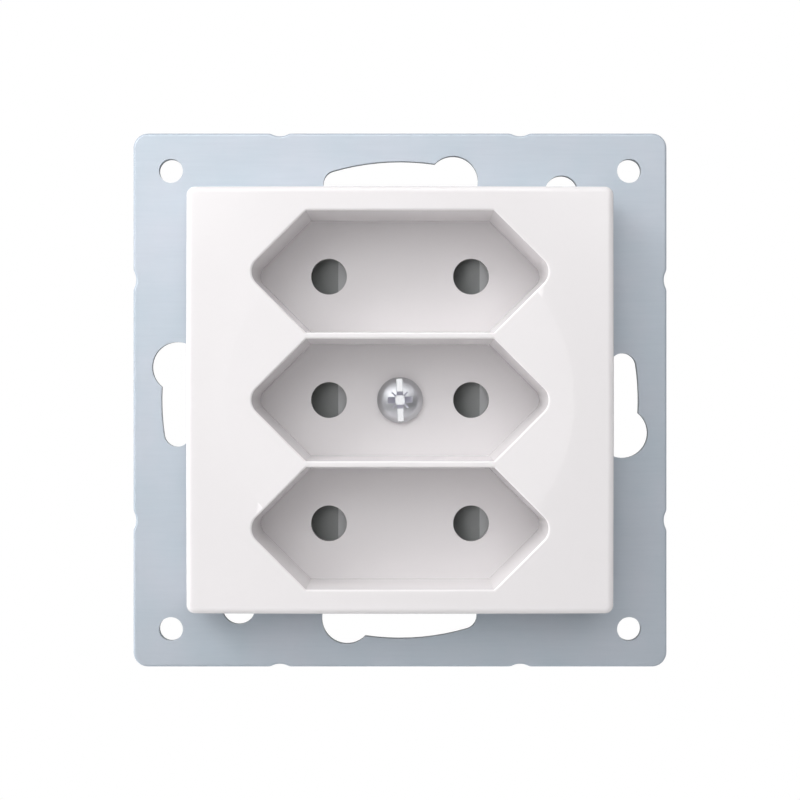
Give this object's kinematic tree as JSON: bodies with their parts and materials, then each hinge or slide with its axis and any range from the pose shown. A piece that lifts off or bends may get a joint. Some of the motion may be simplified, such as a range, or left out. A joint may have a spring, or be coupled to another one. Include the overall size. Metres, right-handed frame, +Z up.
{
  "type": "triple flush socket",
  "caption": "Square flush-mounted power socket with hexagonal wells, shuttered pin holes, a central cover screw and a punched steel frame for a round wall box.",
  "frame": {"origin": "centre of the mounting frame's back, on the plane of the wall", "axes": "+Z up, +Y into the wall, +X to the right as seen from the room; the face looks along -Y"},
  "size_m": [0.071, 0.0343, 0.071],
  "materials": {
    "cover_plastic": "smooth white thermoplastic",
    "zinc_sheet": "bluish zinc plating",
    "zinc_screw": "bright zinc plating",
    "housing_plastic": "satin light grey",
    "base_plastic": "satin pale grey",
    "shutter_plastic": "satin grey",
    "brass": "plain brass",
    "bronze": "spring bronze",
    "spring_steel": "bright spring wire"
  },
  "bodies": {
    "socket": {"cover": "cover_plastic", "cover_screw": "zinc_screw", "cover_nut": "brass", "mounting_frame": "zinc_sheet", "shutter_housing": "housing_plastic", "contact_base": "base_plastic", "frame_rivets": "zinc_screw", "base_screws": "zinc_screw", "shutter_spring_top": "spring_steel", "line_contact_top": "bronze", "neutral_contact_top": "bronze", "shutter_spring_middle": "spring_steel", "line_contact_middle": "bronze", "neutral_contact_middle": "bronze", "shutter_spring_bottom": "spring_steel", "line_contact_bottom": "bronze", "neutral_contact_bottom": "bronze", "line_bar": "brass", "line_clamp_upper": "zinc_screw", "line_screw_upper": "zinc_screw", "line_clamp_lower": "zinc_screw", "line_screw_lower": "zinc_screw", "neutral_bar": "brass", "neutral_clamp_upper": "zinc_screw", "neutral_screw_upper": "zinc_screw", "neutral_clamp_lower": "zinc_screw", "neutral_screw_lower": "zinc_screw"},
    "shutter_top": {"shutter_top": "shutter_plastic"},
    "shutter_middle": {"shutter_middle": "shutter_plastic"},
    "shutter_bottom": {"shutter_bottom": "shutter_plastic"}
  },
  "joints": [
    {"name": "shutter_top_slide", "type": "slide", "parent": "socket", "child": "shutter_top", "axis": [1, 0, 0], "range_m": [0, 0.0051], "stiffness_N_per_m": 100, "springref_m": -0.006, "deforming": ["shutter_spring_top"]},
    {"name": "shutter_middle_slide", "type": "slide", "parent": "socket", "child": "shutter_middle", "axis": [1, 0, 0], "range_m": [0, 0.0051], "stiffness_N_per_m": 100, "springref_m": -0.006, "deforming": ["shutter_spring_middle"]},
    {"name": "shutter_bottom_slide", "type": "slide", "parent": "socket", "child": "shutter_bottom", "axis": [1, 0, 0], "range_m": [0, 0.0051], "stiffness_N_per_m": 100, "springref_m": -0.006, "deforming": ["shutter_spring_bottom"]}
  ]
}
